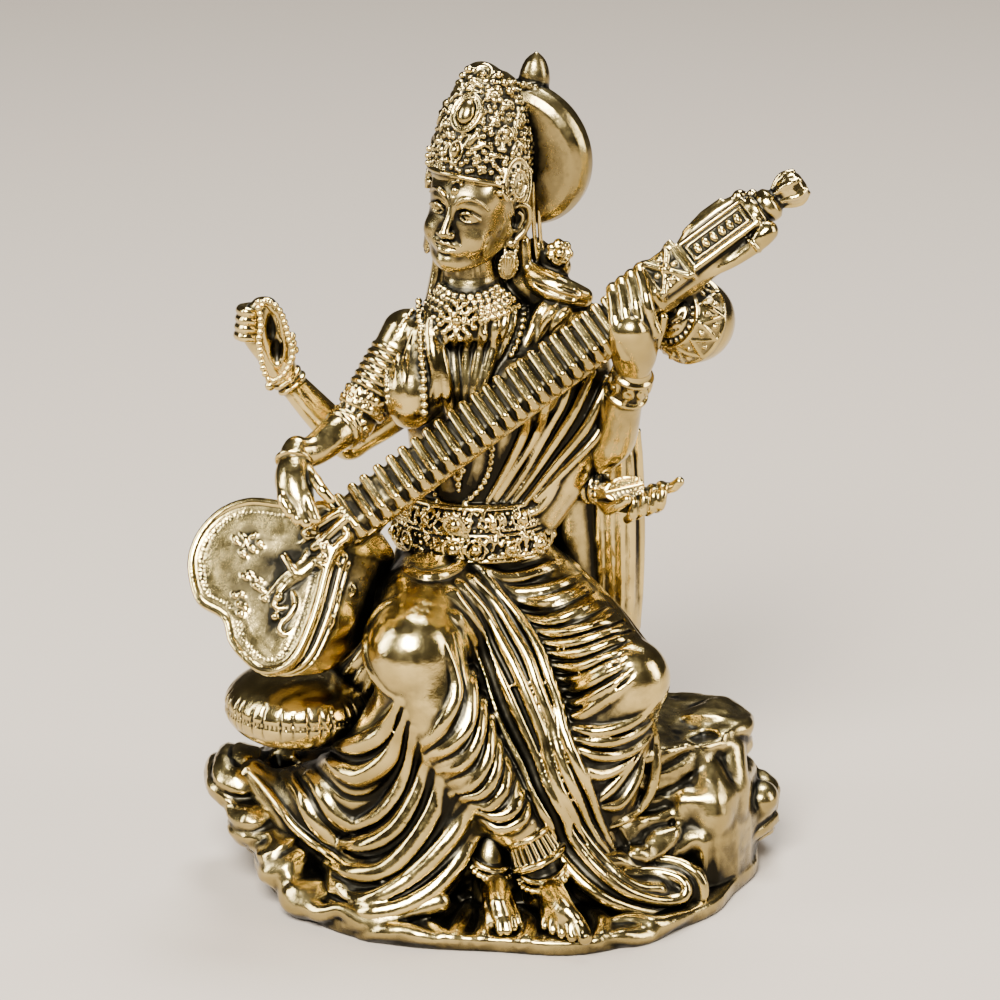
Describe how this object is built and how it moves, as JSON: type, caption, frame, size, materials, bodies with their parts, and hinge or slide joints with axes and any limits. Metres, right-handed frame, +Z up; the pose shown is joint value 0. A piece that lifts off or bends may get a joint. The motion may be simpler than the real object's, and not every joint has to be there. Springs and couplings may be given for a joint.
{
  "type": "saraswati figurine",
  "caption": "Small cast figurine of a four-armed goddess seated on a rock, playing a long-necked lute, for display on a shelf or table.",
  "frame": {"origin": "middle of the part's outline on the plane of its flat underside", "axes": "+Z up, the front of the figurine faces -Y, +X to the viewer's right"},
  "size_m": [0.0718, 0.0528, 0.1],
  "materials": {
    "antique_brass": "antique gold, polished on the high places and dark in the hollows"
  },
  "bodies": {
    "root": {"saraswati_figure": "antique_brass"}
  },
  "joints": []
}
